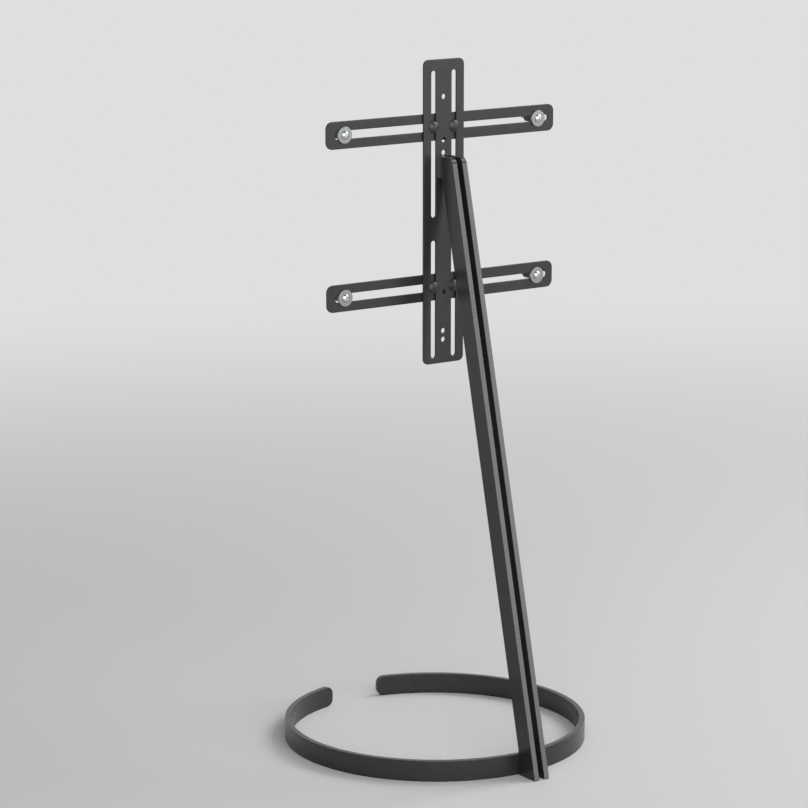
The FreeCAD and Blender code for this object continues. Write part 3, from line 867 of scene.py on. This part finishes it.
# %% [markdown]
# ## Turned and formed parts
#
# Screws, bolts, nuts, washers and sleeves all grow round an axis. The Screw modifier could turn a
# profile into a washer, but not into a hexagon, so one way does for all. Each part is a stack of
# rows, and a row is a radius and a height for every direction round the axis. A round row has one
# radius. A hexagon's depends on the direction, and a thread's on the direction and the height.

# %% Turned and formed parts
AROUND = 48
DIRECTIONS = np.arange(AROUND) * 2 * np.pi / AROUND
PITCH = 1.25 * MM
THREAD_DEPTH = 0.65 * MM
THREAD_ROWS = 8
# The thread's wave is drawn taller than the thread, so that clipping leaves its crest and root flat
WAVE_HEIGHT_SHARE = 1.25
CREST_SHARE = 0.1


def row(radius, height):
    """One row of a stack, as an array of (radius, height) for each direction."""
    return np.stack(np.broadcast_arrays(radius, height, DIRECTIONS)[:2], axis=-1)[None]


def hexagon(width):
    """Half the width over the cosine of the angle to the nearest flat's middle."""
    from_flat = (DIRECTIONS + np.pi / 6) % (np.pi / 3) - np.pi / 6
    return width / 2 / np.cos(from_flat)


def square(width):
    """Half the width over the larger of the cosine and the sine."""
    return width / 2 / np.maximum(np.abs(np.cos(DIRECTIONS)), np.abs(np.sin(DIRECTIONS)))


def thread(start, stop, radius):
    """A helix: the radius dips in a clipped triangle wave once for each pitch, and the wave moves
    on by one pitch for each turn. At both ends it fades out over one pitch."""
    heights = np.arange(start, stop, PITCH / THREAD_ROWS)[:, None]
    phase = (heights / PITCH - DIRECTIONS / (2 * np.pi)) % 1
    valley = np.clip(WAVE_HEIGHT_SHARE * np.abs(2 * phase - 1) - CREST_SHARE, 0, 1)
    fade = np.clip(np.minimum(heights - start, stop - heights) / PITCH, 0, 1)
    return np.stack(np.broadcast_arrays(radius - THREAD_DEPTH * valley * fade, heights), axis=-1)


def turned_points(stack):
    """Radius times cosine and sine of the direction give X and Y, and the height gives Z."""
    radius, height = stack[..., 0], stack[..., 1]
    x, y = radius * np.cos(DIRECTIONS), radius * np.sin(DIRECTIONS)
    return np.stack([x, y, height], axis=-1).reshape(-1, 3)


def solid_of(stack, first_tip, last_tip):
    """A stack closed by a fan to a tip at each end."""
    count = len(stack)
    points = np.concatenate([turned_points(stack), [[0, 0, first_tip], [0, 0, last_tip]]])
    here = np.arange(AROUND)
    after = (here + 1) % AROUND
    start_fan = np.stack([after, here, np.full(AROUND, count * AROUND)], axis=1)
    last = (count - 1) * AROUND
    end_fan = np.stack([last + here, last + after, np.full(AROUND, count * AROUND + 1)], axis=1)
    return points, [grid_faces(count, AROUND), np.concatenate([start_fan, end_fan])]


def tube_of(stack):
    """A stack whose last row meets its first, like a washer."""
    return turned_points(stack), [grid_faces(len(stack), AROUND, rows_meet=True)]


def aimed(points, x, y, z, to_front=True):
    """Lays a part's axis along Y, so that its height runs to the front or to the back, and puts
    its zero height at a place."""
    across, up, along = points.T
    if to_front:
        return np.stack([x + across, y + along, z - up], axis=1)
    return np.stack([x + across, y - along, z + up], axis=1)


print("rows of a 13 mm thread:", len(thread(0, 13 * MM, 4 * MM)))

# %% [markdown]
# ## Button-head screws
#
# A domed head with a hexagon socket. The dome is part of a sphere through the head's rim and its top.
# Below the head comes a plain or thinner neck, and then the thread, which ends in a chamfer. A
# Boolean could cut the socket, but in a stack it takes only a few rows more, from its floor up to
# the dome.

# %% Button-head screws
BUTTON_HEIGHT = 4.4 * MM
BUTTON_RIM = 0.9 * MM
HEAD_LIP = 0.15 * MM
SOCKET_WIDTH = 5.0 * MM
SOCKET_DEPTH = 2.6 * MM
SOCKET_BEVEL = 0.12 * MM
SOCKET_LAND = 0.15 * MM
SOCKET_FLOOR_SHARE = 0.9
SCREW_RADIUS = 4.0 * MM
PLAIN_NECK = 2.0 * MM
TIP_CHAMFER = 0.8 * MM
DOME_ROWS = 9


def dome_height(radius, rim_radius, rim_height, top):
    """The height of a sphere's cap that rises from a rim to a top over its middle. The sphere's
    radius is the sum of the squares of rim radius and rise, over twice the rise."""
    rise = top - rim_height
    sphere = (rim_radius ** 2 + rise ** 2) / (2 * rise)
    return top - sphere + np.sqrt(sphere ** 2 - radius ** 2)


def dome_rows(inner, rim_radius, rim_height, top):
    """Rows down the dome from an inner radius to the rim, and the rim down to its seat."""
    radii = np.linspace(inner, rim_radius, DOME_ROWS)
    rows_down = [row(radius, -dome_height(radius, rim_radius, rim_height, top)) for radius in radii]
    return rows_down + [row(rim_radius, -HEAD_LIP), row(rim_radius - HEAD_LIP, 0.0)]


def shank_rows(neck_start, neck_end, neck_radius, length):
    """The round neck, the thread from there on, and the chamfer at the tip."""
    rows_down = [row(neck_radius, neck_start), row(neck_radius, neck_end)]
    cut = thread(neck_end, length - TIP_CHAMFER, SCREW_RADIUS)
    return rows_down + [cut, row(SCREW_RADIUS - TIP_CHAMFER, length)]


def button_screw(length, neck_radius, neck_length):
    """A button-head screw with its seat at zero and its tip at its length."""
    socket = hexagon(SOCKET_WIDTH)
    mouth = socket + SOCKET_BEVEL
    floor_height = SOCKET_DEPTH - BUTTON_HEIGHT
    top = -dome_height(mouth, SCREW_HEAD_RADIUS, BUTTON_RIM, BUTTON_HEIGHT)
    stack = [row(socket * SOCKET_FLOOR_SHARE, floor_height), row(socket, floor_height)]
    stack += [row(socket, top + SOCKET_BEVEL), row(mouth, top)]
    stack += dome_rows(mouth.max() + SOCKET_LAND, SCREW_HEAD_RADIUS, BUTTON_RIM, BUTTON_HEIGHT)
    stack += shank_rows(0.0, neck_length, neck_radius, length)
    return solid_of(np.concatenate(stack), floor_height, length)


for node, piece_name in (("mount_screws", "mount_screw"), ("ring_screws", "ring_screw")):
    low, high = corners_of(node)
    seat = high[1] - BUTTON_HEIGHT
    points, faces = button_screw(seat - low[1], SCREW_RADIUS, PLAIN_NECK)
    for end, rise in (("low", low[2] + SCREW_HEAD_RADIUS), ("high", high[2] - SCREW_HEAD_RADIUS)):
        placed = aimed(points, 0.0, seat, rise, to_front=False)
        make_piece(f"{piece_name}_{end}", node, black_oxide, placed, faces)

# %% [markdown]
# ## Mounting screws, washers and sleeves
#
# Four bright screws carry what is mounted. Each has a large punched washer under its head, which
# spans the arm's slot, and a nylon sleeve on the other side. Washers and sleeves are closed tubes:
# a rounded rectangle turned round the axis.

# %% Mounting screws, washers and sleeves
WAIST_RADIUS = 3.6 * MM
WASHER_BORE_RADIUS = 4.3 * MM
LARGE_WASHER_EDGE = 0.4 * MM
SLEEVE_BORE_RADIUS = 4.1 * MM
SLEEVE_EDGE = 0.5 * MM


def tube_rows(inner, outer, length, edge):
    """A section with four rounded edges. Each is a quarter circle: its centre plus the edge radius
    times the cosine and the sine of an angle that turns on by a right angle from edge to edge."""
    angle = np.linspace(0, np.pi / 2, EDGE_STEPS)
    stack = []
    for quarter, radius, height in ((3, outer - edge, edge), (0, outer - edge, length - edge),
                                    (1, inner + edge, length - edge), (2, inner + edge, edge)):
        for turn in angle + quarter * np.pi / 2:
            stack.append(row(radius + edge * math.cos(turn), height + edge * math.sin(turn)))
    return np.concatenate(stack)


def make_ring_part(name, node, material, x, z, inner, edge):
    """A washer or sleeve with the outer size and the length of its CAD node."""
    low, high = corners_of(node)
    outer = (high[2] - low[2]) / 2
    points, faces = tube_of(tube_rows(inner, outer, high[1] - low[1], edge))
    return make_piece(name, node, material, aimed(points, x, low[1], z), faces)


for corner in ("upper_left", "upper_right", "lower_left", "lower_right"):
    low, high = corners_of(f"tv_screw_{corner}")
    x, z = (low[0] + high[0]) / 2, (low[2] + high[2]) / 2
    seat = low[1] + BUTTON_HEIGHT
    sleeve_end = corners_of(f"tv_sleeve_{corner}")[1][1]
    points, faces = button_screw(high[1] - seat, WAIST_RADIUS, sleeve_end - seat)
    make_piece(f"mounting_screw_{corner}", f"tv_screw_{corner}", bright_zinc,
               aimed(points, x, seat, z), faces)
    make_ring_part(f"large_washer_{corner}", f"tv_washer_{corner}", dull_zinc,
                   x, z, WASHER_BORE_RADIUS, LARGE_WASHER_EDGE)
    make_ring_part(f"spacer_sleeve_{corner}", f"tv_sleeve_{corner}", black_nylon,
                   x, z, SLEEVE_BORE_RADIUS, SLEEVE_EDGE)

# %% [markdown]
# ## Clamping bolts and nuts
#
# Four carriage bolts clamp the arms to the mount plate. The plain domed head shows at the back, the
# square neck sits in the slot so that the bolt can't turn, and a washer and a nut hold it at the
# front. A nut is a hexagon whose corners are turned off by a cone at both faces: at each height its
# radius is the smaller of the two.

# %% Clamping bolts and nuts
BOLT_HEAD_HEIGHT = 4.6 * MM
BOLT_RIM = 0.8 * MM
NECK_WIDTH = 8.4 * MM
NECK_HEIGHT = 3.5 * MM
NECK_EDGE = 0.3 * MM
NUT_CHAMFER_TAN = math.tan(math.radians(30))
NUT_FACE_SHARE = 0.97
# The cone cuts the corners most near the face, so the rows lie closest there
NUT_ROW_DEPTHS = np.array([0.0, 0.25, 0.5, 0.8, 1.2]) * MM
COUNTERSINK = 0.5 * MM
SMALL_WASHER_EDGE = 0.3 * MM


def carriage_bolt(length):
    """A domed head, a square neck and a threaded shank, with the head's seat at zero."""
    stack = dome_rows(BOLT_HEAD_RADIUS / DOME_ROWS, BOLT_HEAD_RADIUS, BOLT_RIM, BOLT_HEAD_HEIGHT)
    neck = square(NECK_WIDTH)
    neck = np.minimum(neck, neck.max() - NECK_EDGE)
    stack += [row(neck, 0.0), row(neck, NECK_HEIGHT - NECK_EDGE), row(neck - NECK_EDGE, NECK_HEIGHT)]
    stack += shank_rows(NECK_HEIGHT, NECK_HEIGHT + PLAIN_NECK, SCREW_RADIUS, length)
    return solid_of(np.concatenate(stack), -BOLT_HEAD_HEIGHT, length)


def hexagon_nut(width, length):
    """A closed tube: the chamfered hexagon outside, and inside a bore that is countersunk at both
    ends. The bolt fills the bore, so it has no thread of its own."""
    face_radius = width / 2 * NUT_FACE_SHARE
    sides = hexagon(width)
    cones = [np.minimum(sides, face_radius + depth / NUT_CHAMFER_TAN) for depth in NUT_ROW_DEPTHS]
    stack = [row(cone, depth) for cone, depth in zip(cones, NUT_ROW_DEPTHS)]
    stack += [row(cone, length - depth) for cone, depth in zip(cones[::-1], NUT_ROW_DEPTHS[::-1])]
    bore = SLEEVE_BORE_RADIUS
    stack += [row(bore + COUNTERSINK, length), row(bore, length - COUNTERSINK)]
    stack += [row(bore, COUNTERSINK), row(bore + COUNTERSINK, 0.0)]
    return tube_of(np.concatenate(stack))


for level in ("upper", "lower"):
    bolts = f"{level}_arm_bolts"
    washers = f"{level}_arm_washers"
    nuts = f"{level}_arm_nuts"
    low, high = corners_of(bolts)
    rise = (low[2] + high[2]) / 2
    seat = low[1] + BOLT_HEAD_HEIGHT - SLIDING_GAP
    nut_low, nut_high = corners_of(nuts)
    bolt_points, bolt_faces = carriage_bolt(high[1] - seat)
    nut_width = nut_high[0] - nut_low[0] - 2 * slot_across
    nut_points, nut_faces = hexagon_nut(nut_width, nut_high[1] - nut_low[1])
    for side, x in (("left", -slot_across), ("right", slot_across)):
        make_piece(f"{level}_clamping_bolt_{side}", bolts, black_oxide,
                   aimed(bolt_points, x, seat, rise), bolt_faces)
        make_piece(f"{level}_clamping_nut_{side}", nuts, bright_zinc,
                   aimed(nut_points, x, nut_low[1], rise), nut_faces)
        make_ring_part(f"{level}_clamping_washer_{side}", washers, dull_zinc,
                       x, rise, WASHER_BORE_RADIUS, SMALL_WASHER_EDGE)

# %% [markdown]
# ## Blocks, spacers and dowels
#
# Between the two column plates sit coated blocks and spacers, with steel dowels through them. They
# hardly show in the gap, and their CAD shapes are right, so they keep those and only get a finish:
# the material goes into the slots of the CAD object.

# %% Blocks, spacers and dowels
FINISHES = {
    steel_coat: ("foot_block", "head_block", "lower_spacer", "upper_spacer"),
    ground_steel: ("foot_dowels", "head_dowels", "lower_spacer_dowel", "upper_spacer_dowel"),
}
for material, nodes in FINISHES.items():
    for node in nodes:
        cad_piece = frame["nodes"][node]
        cad_piece.data.materials.clear()
        cad_piece.data.materials.append(material)
        print(node, "is finished in", material.name)
